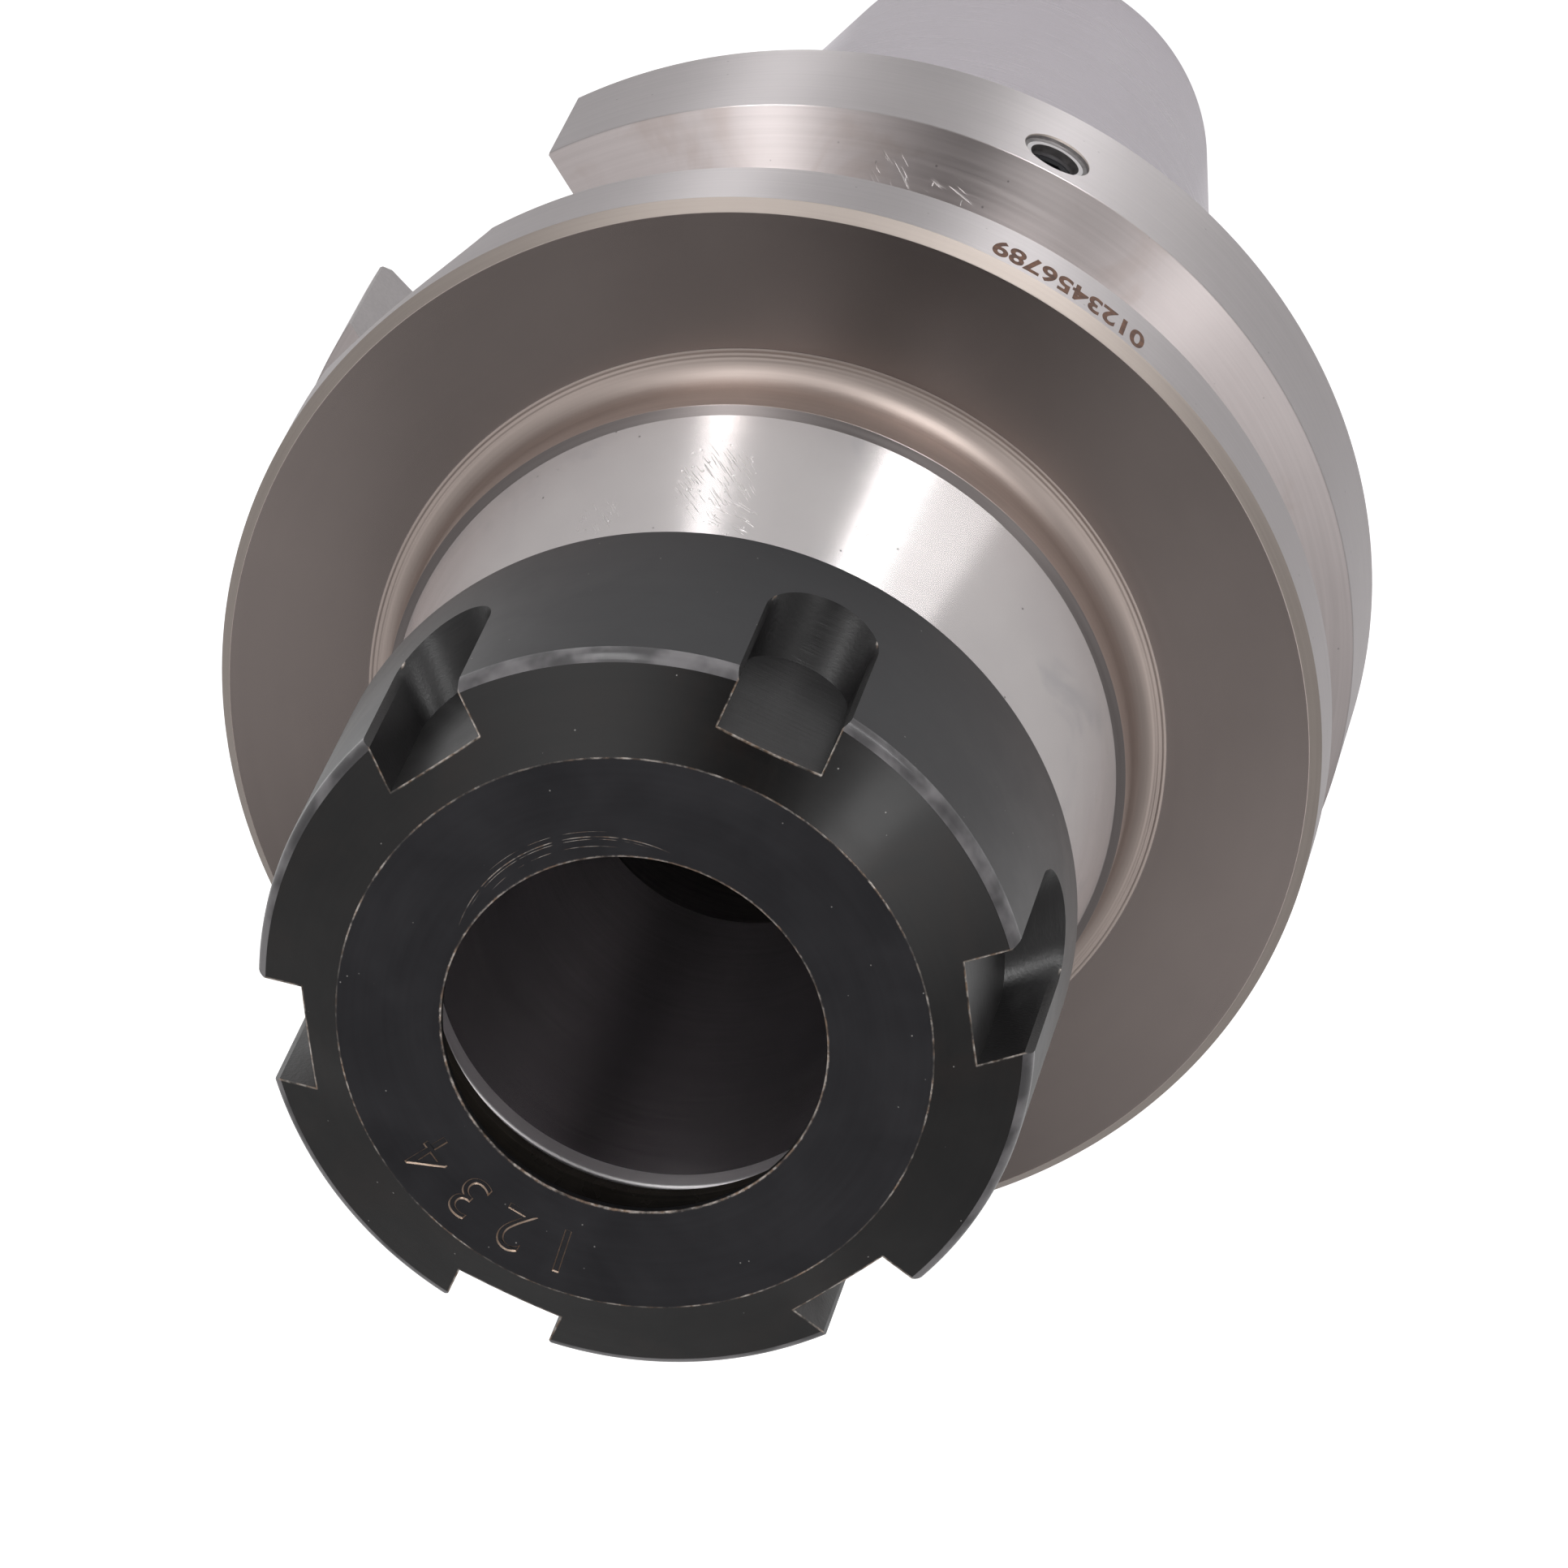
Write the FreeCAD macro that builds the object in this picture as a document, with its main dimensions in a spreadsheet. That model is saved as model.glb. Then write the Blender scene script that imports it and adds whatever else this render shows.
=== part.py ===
import FreeCAD, Part
import Sketcher
import math
import os

doc = FreeCAD.newDocument("collet_chuck")
sheet = doc.addObject("Spreadsheet::Sheet", "Sizes")
sheet.set("A1", "Size")
sheet.set("B1", "Value")


class Size:
    """A number together with the sheet expression that gives it."""

    def __init__(self, value, text):
        self.value = value
        self.text = text

    def join(self, other, sign, value):
        return Size(value, "(%s %s %s)" % (self.text, sign, other.text))

    def __add__(self, other):
        return self.join(other, "+", self.value + other.value)

    def __sub__(self, other):
        return self.join(other, "-", self.value - other.value)

    def __mul__(self, other):
        return self.join(other, "*", self.value * other.value)

    def __truediv__(self, other):
        return self.join(other, "/", self.value / other.value)


def number(value):
    """A constant of the geometry, such as a half or a whole turn."""
    return Size(value, repr(value))


def tangent(angle):
    return Size(math.tan(math.radians(angle.value)), "tan(%s * 1 deg)" % angle.text)


def sine(angle):
    return Size(math.sin(math.radians(angle.value)), "sin(%s * 1 deg)" % angle.text)


def cosine(angle):
    return Size(math.cos(math.radians(angle.value)), "cos(%s * 1 deg)" % angle.text)


row = [1]


def size(name, value):
    """Write a driving dimension into the sheet and return it as a Size."""
    row[0] += 1
    sheet.set("A%d" % row[0], name)
    sheet.set("B%d" % row[0], str(value))
    sheet.setAlias("B%d" % row[0], name)
    return Size(value, "Sizes." + name)


zero = number(0.0)
two = number(2.0)

# Driving dimensions in millimetres and degrees, heights measured up from the shank's small end

# Shank: a 7:24 taper of size 40, 44.45 across at the gauge line
shank_end_diameter = size("shank_end_diameter", 25.375)
gauge_height = size("gauge_height", 65.4)
taper_rise = size("taper_rise", 7.0)
taper_run = size("taper_run", 24.0)
shank_end_chamfer = size("shank_end_chamfer", 1.0)
shank_relief_depth = size("shank_relief_depth", 0.4)
shank_relief_step = size("shank_relief_step", 0.5)

# Pull stud hole in the shank's small end
pilot_diameter = size("pilot_diameter", 17.0)
pilot_depth = size("pilot_depth", 9.0)
pilot_chamfer = size("pilot_chamfer", 0.6)
stud_drill_diameter = size("stud_drill_diameter", 13.8)
stud_drill_depth = size("stud_drill_depth", 34.0)
drill_point_angle = size("drill_point_angle", 60.0)

# Flange
flange_diameter = size("flange_diameter", 63.0)
flange_gap = size("flange_gap", 2.0)
flange_thickness = size("flange_thickness", 25.0)
back_chamfer = size("back_chamfer", 0.7)
rim_chamfer_width = size("rim_chamfer_width", 0.6)
rim_chamfer_height = size("rim_chamfer_height", 0.8)
groove_offset = size("groove_offset", 16.6)
groove_mouth = size("groove_mouth", 10.0)
groove_depth = size("groove_depth", 5.0)
groove_side_angle = size("groove_side_angle", 30.0)

# Drive keyways
keyway_width = size("keyway_width", 16.1)
keyway_floor = size("keyway_floor", 22.6)
keyway_front_wall = size("keyway_front_wall", 2.0)

# Coolant drillings in the flange, each closed by two grub screws
port_angle = size("port_angle", -69.4)
rim_drill_diameter = size("rim_drill_diameter", 3.3)
face_drill_diameter = size("face_drill_diameter", 3.0)
port_countersink = size("port_countersink", 0.35)
rim_port_drop = size("rim_port_drop", 2.8)
face_port_inset = size("face_port_inset", 4.5)
grub_clearance = size("grub_clearance", 0.05)
rim_grub_length = size("rim_grub_length", 3.0)
face_grub_length = size("face_grub_length", 3.2)
grub_recess = size("grub_recess", 1.0)
grub_socket = size("grub_socket", 2.0)
grub_socket_depth = size("grub_socket_depth", 1.5)

# Nose
root_fillet = size("root_fillet", 3.5)
root_land = size("root_land", 0.55)
root_step = size("root_step", 0.5)
cone_diameter = size("cone_diameter", 41.2)
cone_edge_height = size("cone_edge_height", 0.4)
cone_end_step = size("cone_end_step", 0.8)
cone_end_gap = size("cone_end_gap", 6.9)
undercut_depth = size("undercut_depth", 0.8)
undercut_length = size("undercut_length", 3.0)
nose_length = size("nose_length", 33.0)
nose_wall = size("nose_wall", 3.015)
thread_clearance = size("thread_clearance", 0.04)
thread_chamfer = size("thread_chamfer", 0.8)

# Collet seat and the bore behind it
seat_diameter = size("seat_diameter", 25.0)
seat_half_angle = size("seat_half_angle", 8.0)
seat_length = size("seat_length", 25.0)
seat_lip_width = size("seat_lip_width", 0.4)
seat_lip_height = size("seat_lip_height", 0.8)
seat_relief = size("seat_relief", 0.3)
seat_relief_length = size("seat_relief_length", 7.0)
stop_drill_diameter = size("stop_drill_diameter", 16.5)
stop_thread_length = size("stop_thread_length", 30.0)
through_diameter = size("through_diameter", 10.0)

# Clamping nut
nut_diameter = size("nut_diameter", 42.0)
nut_length = size("nut_length", 20.0)
nut_face_diameter = size("nut_face_diameter", 32.2)
nut_front_angle = size("nut_front_angle", 30.0)
nut_edge_flat = size("nut_edge_flat", 0.6)
nut_back_chamfer = size("nut_back_chamfer", 1.0)
nut_thread_chamfer = size("nut_thread_chamfer", 0.75)
nut_thread_runout = size("nut_thread_runout", 1.2)
nut_recess_diameter = size("nut_recess_diameter", 26.6)
mouth_diameter = size("mouth_diameter", 20.8)
mouth_land = size("mouth_land", 0.5)
mouth_cone_angle = size("mouth_cone_angle", 30.0)
lip_diameter = size("lip_diameter", 24.2)
lip_offset = size("lip_offset", 0.45)
lip_angle = size("lip_angle", -60.0)
lip_thickness = size("lip_thickness", 0.8)
lip_ledge = size("lip_ledge", 0.2)
lip_gap = size("lip_gap", 2.63)
nut_turn = size("nut_turn", -6.8)

# Wrench slots in the nut
slot_count = size("slot_count", 6)
slot_width = size("slot_width", 6.0)
slot_depth = size("slot_depth", 3.0)
slot_floor_length = size("slot_floor_length", 12.4)
slot_rim_length = size("slot_rim_length", 14.6)
slot_bevel = size("slot_bevel", 0.3)
slot_bevel_depth = size("slot_bevel_depth", 0.6)
slot_overrun = size("slot_overrun", 1.0)

doc.recompute()


def plane(body, role):
    """One of a body's own origin planes or axes, found by its role."""
    for feature in body.Origin.OriginFeatures:
        if feature.Role == role:
            return feature
    raise ValueError("no " + role)


def new_body(label):
    body = doc.addObject("PartDesign::Body", label)
    body.Label = label
    return body


def new_sketch(body, name, role, angle=None, distance=None):
    """A sketch on an origin plane, turned about the vertical axis and moved out along its normal."""
    sketch = body.newObject("Sketcher::SketchObject", name)
    sketch.AttachmentSupport = [(plane(body, role), "")]
    sketch.MapMode = "FlatFace"
    turn_axis = FreeCAD.Vector(0, 0, 1) if role == "XY_Plane" else FreeCAD.Vector(0, 1, 0)
    if angle is not None:
        turn = FreeCAD.Rotation(turn_axis, angle.value)
        sketch.AttachmentOffset = FreeCAD.Placement(FreeCAD.Vector(), turn)
        sketch.setExpression("AttachmentOffset.Rotation.Angle", angle.text + " * 1 deg")
    if distance is not None and angle is not None and role == "YZ_Plane":
        sketch.setExpression("AttachmentOffset.Base.x", (distance * sine(angle)).text)
        sketch.setExpression("AttachmentOffset.Base.z", (distance * cosine(angle)).text)
    elif distance is not None:
        sketch.setExpression("AttachmentOffset.Base.z", distance.text)
    return sketch


def fix_point(sketch, geometry, which, x, y):
    """Hold a point of the sketch at x, y measured from the sketch's origin."""
    for value, kind, axis in ((x, "DistanceX", -2), (y, "DistanceY", -1)):
        if value.text == zero.text:
            sketch.addConstraint(Sketcher.Constraint("PointOnObject", geometry, which, axis))
            continue
        index = sketch.addConstraint(Sketcher.Constraint(kind, -1, 1, geometry, which, value.value))
        sketch.setExpression("Constraints[%d]" % index, value.text)


def draw_outline(sketch, corners):
    """A closed outline of straight lines through corners, each held by its two sizes."""
    spots = [FreeCAD.Vector(x.value, y.value, 0) for x, y in corners]
    count = len(corners)
    for index, spot in enumerate(spots):
        sketch.addGeometry(Part.LineSegment(spot, spots[(index + 1) % count]), False)
    for index in range(count):
        following = (index + 1) % count
        sketch.addConstraint(Sketcher.Constraint("Coincident", index, 2, following, 1))
    for index, (x, y) in enumerate(corners):
        fix_point(sketch, index, 1, x, y)


def draw_circle(sketch, x, y, radius):
    centre = FreeCAD.Vector(x.value, y.value, 0)
    sketch.addGeometry(Part.Circle(centre, FreeCAD.Vector(0, 0, 1), radius.value), False)
    fix_point(sketch, 0, 3, x, y)
    index = sketch.addConstraint(Sketcher.Constraint("Radius", 0, radius.value))
    sketch.setExpression("Constraints[%d]" % index, radius.text)


def draw_slot_end(sketch, half_width, open_height, arc_height, upward):
    """An upright slot outline with one open end and one round end, centred on the sketch's axis."""
    left = zero - half_width
    side = 1 if upward else -1
    centre = FreeCAD.Vector(0, arc_height.value, 0)
    start, end = (0.0, math.pi) if upward else (math.pi, 2 * math.pi)
    circle = Part.Circle(centre, FreeCAD.Vector(0, 0, 1), half_width.value)
    arc_start = FreeCAD.Vector(side * half_width.value, arc_height.value, 0)
    arc_end = FreeCAD.Vector(-side * half_width.value, arc_height.value, 0)
    open_end = FreeCAD.Vector(-side * half_width.value, open_height.value, 0)
    open_start = FreeCAD.Vector(side * half_width.value, open_height.value, 0)
    sketch.addGeometry(Part.ArcOfCircle(circle, start, end), False)
    sketch.addGeometry(Part.LineSegment(arc_end, open_end), False)
    sketch.addGeometry(Part.LineSegment(open_end, open_start), False)
    sketch.addGeometry(Part.LineSegment(open_start, arc_start), False)
    sketch.addConstraint(Sketcher.Constraint("Coincident", 0, 2, 1, 1))
    sketch.addConstraint(Sketcher.Constraint("Coincident", 1, 2, 2, 1))
    sketch.addConstraint(Sketcher.Constraint("Coincident", 2, 2, 3, 1))
    sketch.addConstraint(Sketcher.Constraint("Coincident", 3, 2, 0, 1))
    first, second = (half_width, left) if upward else (left, half_width)
    fix_point(sketch, 0, 3, zero, arc_height)
    fix_point(sketch, 1, 1, second, arc_height)
    fix_point(sketch, 1, 2, second, open_height)
    fix_point(sketch, 2, 2, first, open_height)
    index = sketch.addConstraint(Sketcher.Constraint("DistanceY", -1, 1, 0, 1, arc_height.value))
    sketch.setExpression("Constraints[%d]" % index, arc_height.text)


def revolve(body, sketch, kind, name):
    feature = body.newObject(kind, name)
    feature.Profile = sketch
    feature.ReferenceAxis = (sketch, ["V_Axis"])
    feature.Angle = 360.0
    return feature


def pattern(body, features, count, name):
    """Copies of features spaced evenly round the vertical axis."""
    turn = body.newObject("PartDesign::PolarPattern", name)
    turn.Originals = features
    turn.Axis = (plane(body, "Z_Axis"), [""])
    turn.Angle = 360.0
    turn.Occurrences = int(count.value)
    if count.text.startswith("Sizes."):
        turn.setExpression("Occurrences", count.text)
    body.Tip = turn
    return turn


def ring_edge(shape, radius, height):
    """The name of the full circle at this radius and height."""
    for index, edge in enumerate(shape.Edges):
        curve = edge.Curve
        if not isinstance(curve, Part.Circle):
            continue
        if abs(curve.Radius - radius) < 1e-4 and abs(curve.Center.z - height) < 1e-4:
            return "Edge%d" % (index + 1)
    raise ValueError("no ring of radius %.3f at height %.3f" % (radius, height))


# Heights and radii that follow from the driving dimensions
taper_slope = taper_rise / (two * taper_run)
gauge_radius = shank_end_diameter / two + gauge_height * taper_slope
flange_radius = flange_diameter / two
flange_back = gauge_height + flange_gap
flange_front = flange_back + flange_thickness
groove_middle = gauge_height + groove_offset
groove_low = groove_middle - groove_mouth / two
rim_port_level = groove_low - rim_port_drop
face_port_radius = flange_radius - face_port_inset
nose_face = flange_front + nose_length
thread_mean = seat_diameter / two + nose_wall
thread_radius = thread_mean - thread_clearance
nut_thread_radius = thread_mean + thread_clearance

# The nut stands on the nose with its lip a gap in front of the nose's face
mouth_radius = mouth_diameter / two
lip_radius = lip_diameter / two
ring_radius = lip_radius - lip_offset - lip_ledge
cone_low_radius = lip_radius + lip_offset + lip_ledge
cone_low = nose_face + lip_gap + lip_thickness
cone_top = cone_low + (cone_low_radius - mouth_radius) / tangent(mouth_cone_angle)
nut_front = cone_top + mouth_land
nut_back = nut_front - nut_length

# The neck's cone runs from the flange's root to just behind the nut
root_height = root_fillet + root_land
root_radius = cone_diameter / two + root_step
cone_start = flange_front + root_height + cone_edge_height
cone_end = nut_back - cone_end_gap
cone_end_radius = thread_mean + cone_end_step
cone_slope = (cone_diameter / two - cone_end_radius) / (cone_end - cone_start)
thread_start = cone_end + undercut_length


def make_holder_body():
    """The one-piece steel body: taper shank, flange, nose and the bore through all of it."""
    body = new_body("holder_body")
    seat_radius = seat_diameter / two
    seat_top = nose_face - seat_lip_height
    seat_bottom = seat_top - seat_length
    seat_end_radius = seat_radius - seat_length * tangent(seat_half_angle)
    stop_radius = stop_drill_diameter / two
    stop_top = seat_bottom - seat_relief_length
    stop_bottom = stop_top - stop_thread_length
    through_radius = through_diameter / two
    stud_radius = stud_drill_diameter / two
    pilot_radius = pilot_diameter / two
    undercut_radius = thread_mean - undercut_depth
    undercut_step = cone_end_radius - undercut_radius
    relief_radius = gauge_radius - shank_relief_depth

    profile = new_sketch(body, "turned_profile", "XZ_Plane")
    draw_outline(profile, [
        (pilot_radius + pilot_chamfer, zero),
        (shank_end_diameter / two - shank_end_chamfer, zero),
        (gauge_radius - (gauge_height - shank_end_chamfer) * taper_slope, shank_end_chamfer),
        (gauge_radius, gauge_height),
        (relief_radius, gauge_height + shank_relief_step),
        (relief_radius, flange_back),
        (flange_radius - back_chamfer, flange_back),
        (flange_radius, flange_back + back_chamfer),
        (flange_radius, flange_front - rim_chamfer_height),
        (flange_radius - rim_chamfer_width, flange_front),
        (root_radius, flange_front),
        (root_radius, flange_front + root_height),
        (cone_diameter / two, cone_start),
        (cone_end_radius, cone_end),
        (undercut_radius, cone_end + undercut_step * cone_slope),
        (undercut_radius, thread_start - (thread_radius - undercut_radius)),
        (thread_radius, thread_start),
        (thread_radius, nose_face - thread_chamfer),
        (thread_radius - thread_chamfer, nose_face),
        (seat_radius + seat_lip_width, nose_face),
        (seat_radius, seat_top),
        (seat_end_radius, seat_bottom),
        (seat_end_radius + seat_relief, seat_bottom),
        (seat_end_radius + seat_relief, stop_top),
        (stop_radius, stop_top),
        (stop_radius, stop_bottom),
        (through_radius, stop_bottom - (stop_radius - through_radius) / tangent(drill_point_angle)),
        (through_radius, stud_drill_depth + (stud_radius - through_radius) / tangent(drill_point_angle)),
        (stud_radius, stud_drill_depth),
        (stud_radius, pilot_depth + pilot_radius - stud_radius),
        (pilot_radius, pilot_depth),
        (pilot_radius, pilot_chamfer),
    ])
    turned = revolve(body, profile, "PartDesign::Revolution", "turned_blank")
    doc.recompute()

    root = body.newObject("PartDesign::Fillet", "root_round")
    root.Base = (turned, [ring_edge(turned.Shape, root_radius.value, flange_front.value)])
    root.setExpression("Radius", root_fillet.text)

    groove_half = groove_mouth / two
    groove_radius = flange_radius - groove_depth
    bottom_half = groove_half - groove_depth * tangent(groove_side_angle)
    overshoot = number(1.0)
    wide_half = groove_half + overshoot * tangent(groove_side_angle)
    groove_sketch = new_sketch(body, "gripper_groove_profile", "XZ_Plane")
    draw_outline(groove_sketch, [
        (groove_radius, groove_middle - bottom_half),
        (flange_radius + overshoot, groove_middle - wide_half),
        (flange_radius + overshoot, groove_middle + wide_half),
        (groove_radius, groove_middle + bottom_half),
    ])
    revolve(body, groove_sketch, "PartDesign::Groove", "gripper_groove")
    doc.recompute()

    # Each keyway is milled from the side, with a round end that stops short of the front face
    keyway_half = keyway_width / two
    keyway_sketch = new_sketch(body, "keyway_outline", "YZ_Plane", distance=keyway_floor)
    keyway_end = flange_front - keyway_front_wall - keyway_half
    draw_slot_end(keyway_sketch, keyway_half, flange_back - number(2.0), keyway_end, True)
    keyway = body.newObject("PartDesign::Pocket", "keyway")
    keyway.Profile = keyway_sketch
    keyway.Type = "Length"
    keyway.setExpression("Length", flange_radius.text)
    keyway.Reversed = True
    doc.recompute()
    pattern(body, [keyway], number(2), "keyways")
    doc.recompute()

    # Coolant drillings: one from the rim to the bore, meeting one from the flange's back face
    rim_drill_radius = rim_drill_diameter / two
    rim_sketch = new_sketch(body, "rim_port_circle", "YZ_Plane", angle=port_angle)
    draw_circle(rim_sketch, zero, rim_port_level, rim_drill_radius)
    rim_port = body.newObject("PartDesign::Pocket", "rim_port")
    rim_port.Profile = rim_sketch
    rim_port.Type = "Length"
    rim_port.setExpression("Length", (flange_radius + overshoot).text)
    rim_port.Reversed = True
    sink_sketch = new_sketch(body, "rim_countersink_circle", "YZ_Plane",
                             angle=port_angle, distance=flange_radius)
    draw_circle(sink_sketch, zero, rim_port_level, rim_drill_radius + port_countersink)
    rim_sink = body.newObject("PartDesign::Pocket", "rim_countersink")
    rim_sink.Profile = sink_sketch
    rim_sink.Type = "Length"
    rim_sink.setExpression("Length", port_countersink.text)
    rim_sink.TaperAngle = -45.0
    face_sketch = new_sketch(body, "face_port_circle", "XY_Plane",
                             angle=port_angle, distance=flange_back)
    draw_circle(face_sketch, face_port_radius, zero, face_drill_diameter / two)
    face_port = body.newObject("PartDesign::Pocket", "face_port")
    face_port.Profile = face_sketch
    face_port.Type = "Length"
    face_port.setExpression("Length", (rim_port_level - flange_back).text)
    face_port.Reversed = True
    doc.recompute()
    pattern(body, [rim_port, rim_sink, face_port], number(2), "coolant_ports")
    doc.recompute()
    return body


def make_clamping_nut():
    """The one-piece clamping nut, turned, then slotted for a hook or castle wrench."""
    body = new_body("clamping_nut")
    half = nut_diameter / two
    face_radius = nut_face_diameter / two
    front_drop = (half - face_radius) * tangent(nut_front_angle)
    recess_radius = nut_recess_diameter / two
    thread_end = nose_face + nut_thread_runout
    edge_rise = nut_edge_flat * sine(nut_front_angle)
    edge_run = nut_edge_flat * cosine(nut_front_angle)

    profile = new_sketch(body, "nut_profile", "XZ_Plane")
    draw_outline(profile, [
        (nut_thread_radius + nut_thread_chamfer, nut_back),
        (half - nut_back_chamfer, nut_back),
        (half, nut_back + nut_back_chamfer),
        (half, nut_front - front_drop - nut_edge_flat),
        (half - edge_run, nut_front - front_drop + edge_rise),
        (face_radius, nut_front),
        (mouth_radius, nut_front),
        (mouth_radius, cone_top),
        (cone_low_radius, cone_low),
        (ring_radius, cone_low),
        (ring_radius, cone_low - lip_thickness),
        (recess_radius, cone_low - lip_thickness),
        (recess_radius, thread_end),
        (nut_thread_radius, thread_end),
        (nut_thread_radius, nut_back + nut_thread_chamfer),
    ])
    revolve(body, profile, "PartDesign::Revolution", "nut_blank")
    doc.recompute()

    # The lip that draws a collet out is bored off centre
    lip_sketch = new_sketch(body, "lip_circle", "XY_Plane", angle=lip_angle, distance=cone_low)
    draw_circle(lip_sketch, lip_offset, zero, lip_radius)
    lip = body.newObject("PartDesign::Pocket", "off_centre_lip")
    lip.Profile = lip_sketch
    lip.Type = "Length"
    lip.setExpression("Length", lip_thickness.text)
    doc.recompute()

    # A slot has a flat floor, upright sides and a round end that leans back towards the rim
    slot_half = slot_width / two
    slot_floor = half - slot_depth
    open_end = nut_front + slot_overrun
    floor_arc = nut_front - slot_floor_length + slot_half
    rim_arc = nut_front - slot_rim_length + slot_half
    floor_sketch = new_sketch(body, "slot_floor_outline", "YZ_Plane", distance=slot_floor)
    draw_slot_end(floor_sketch, slot_half, open_end, floor_arc, False)
    rim_sketch = new_sketch(body, "slot_rim_outline", "YZ_Plane", distance=half + slot_overrun)
    rise = (rim_arc - floor_arc) * slot_overrun / slot_depth
    draw_slot_end(rim_sketch, slot_half, open_end, rim_arc + rise, False)
    slot = body.newObject("PartDesign::SubtractiveLoft", "wrench_slot")
    slot.Profile = floor_sketch
    slot.Sections = [rim_sketch]
    slot.Ruled = True
    bevel_floor = half - two * slot_bevel_depth
    bevel_growth = slot_bevel * (slot_overrun + slot_bevel_depth) / slot_bevel_depth
    bevel_arc = rim_arc - (rim_arc - floor_arc) * two * slot_bevel_depth / slot_depth
    low_sketch = new_sketch(body, "slot_bevel_inner", "YZ_Plane", distance=bevel_floor)
    draw_slot_end(low_sketch, slot_half - slot_bevel, open_end, bevel_arc, False)
    high_sketch = new_sketch(body, "slot_bevel_outer", "YZ_Plane", distance=half + slot_overrun)
    draw_slot_end(high_sketch, slot_half + bevel_growth, open_end, rim_arc + rise, False)
    bevel = body.newObject("PartDesign::SubtractiveLoft", "slot_bevel")
    bevel.Profile = low_sketch
    bevel.Sections = [high_sketch]
    bevel.Ruled = True
    doc.recompute()
    pattern(body, [slot, bevel], slot_count, "wrench_slots")
    doc.recompute()
    body.Placement = FreeCAD.Placement(FreeCAD.Vector(), FreeCAD.Rotation(0, 0, 0))
    body.setExpression("Placement.Rotation.Angle", nut_turn.text + " * 1 deg")
    return body


def make_grub_screw(label, drill_diameter, length):
    """A socket grub screw that stands on the origin with its socket at the upper end."""
    body = new_body(label)
    radius = drill_diameter / two - grub_clearance
    profile = new_sketch(body, label + "_profile", "XZ_Plane")
    draw_outline(profile, [
        (zero, zero),
        (radius, zero),
        (radius, length),
        (zero, length),
    ])
    revolve(body, profile, "PartDesign::Revolution", label + "_blank")
    doc.recompute()
    socket = new_sketch(body, label + "_hexagon", "XY_Plane", distance=length)
    corner = grub_socket / (two * cosine(number(30.0)))
    corners = [(corner * cosine(number(60.0 * k + 30.0)), corner * sine(number(60.0 * k + 30.0)))
               for k in range(6)]
    draw_outline(socket, corners)
    hexagon = body.newObject("PartDesign::Pocket", label + "_socket")
    hexagon.Profile = socket
    hexagon.Type = "Length"
    hexagon.setExpression("Length", grub_socket_depth.text)
    doc.recompute()
    return body


def seat_grub_screws():
    """Two rim screws and two face screws, half a turn apart."""
    screws = []
    for side in range(2):
        half_turn = number(180.0 * side)
        turn = port_angle + half_turn
        rim = make_grub_screw("rim_grub_screw_%d" % (side + 1), rim_drill_diameter, rim_grub_length)
        reach = flange_radius - grub_recess - rim_grub_length
        direction = FreeCAD.Vector(math.cos(math.radians(turn.value)), math.sin(math.radians(turn.value)), 0)
        rim.Placement = FreeCAD.Placement(
            FreeCAD.Vector(direction.x * reach.value, direction.y * reach.value, rim_port_level.value),
            FreeCAD.Rotation(FreeCAD.Vector(0, 0, 1), direction))
        rim.setExpression("Placement.Rotation.Axis.x", (zero - sine(turn)).text)
        rim.setExpression("Placement.Rotation.Axis.y", cosine(turn).text)
        rim.setExpression("Placement.Base.x", (reach * cosine(turn)).text)
        rim.setExpression("Placement.Base.y", (reach * sine(turn)).text)
        rim.setExpression("Placement.Base.z", rim_port_level.text)
        face = make_grub_screw("face_grub_screw_%d" % (side + 1), face_drill_diameter, face_grub_length)
        level = flange_back + grub_recess + face_grub_length
        face.Placement = FreeCAD.Placement(
            FreeCAD.Vector(), FreeCAD.Rotation(FreeCAD.Vector(0, 0, 1), FreeCAD.Vector(0, 0, -1)))
        face.setExpression("Placement.Base.x", (face_port_radius * cosine(turn)).text)
        face.setExpression("Placement.Base.y", (face_port_radius * sine(turn)).text)
        face.setExpression("Placement.Base.z", level.text)
        screws += [rim, face]
    return screws


pieces = [make_holder_body(), make_clamping_nut()] + seat_grub_screws()
doc.recompute()

for thing in doc.Objects:
    if "Invalid" in thing.State or "Error" in thing.State:
        raise RuntimeError("%s failed: %s" % (thing.Label, thing.State))

os.makedirs("parts", exist_ok=True)
for piece in pieces:
    shape = piece.Shape
    if shape.isNull() or not shape.isValid() or len(shape.Solids) != 1:
        raise RuntimeError("%s is not one valid solid" % piece.Label)
    shape.exportStep("parts/%s.step" % piece.Label)
    print(piece.Label, "volume %.1f mm3" % shape.Volume, shape.BoundBox)
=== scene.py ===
"""Looks of a collet chuck that stands nose up on its shank: 7:24 taper, grooved flange and clamping nut."""
import math

import bmesh
import bpy
from mathutils import Matrix, Vector


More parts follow.
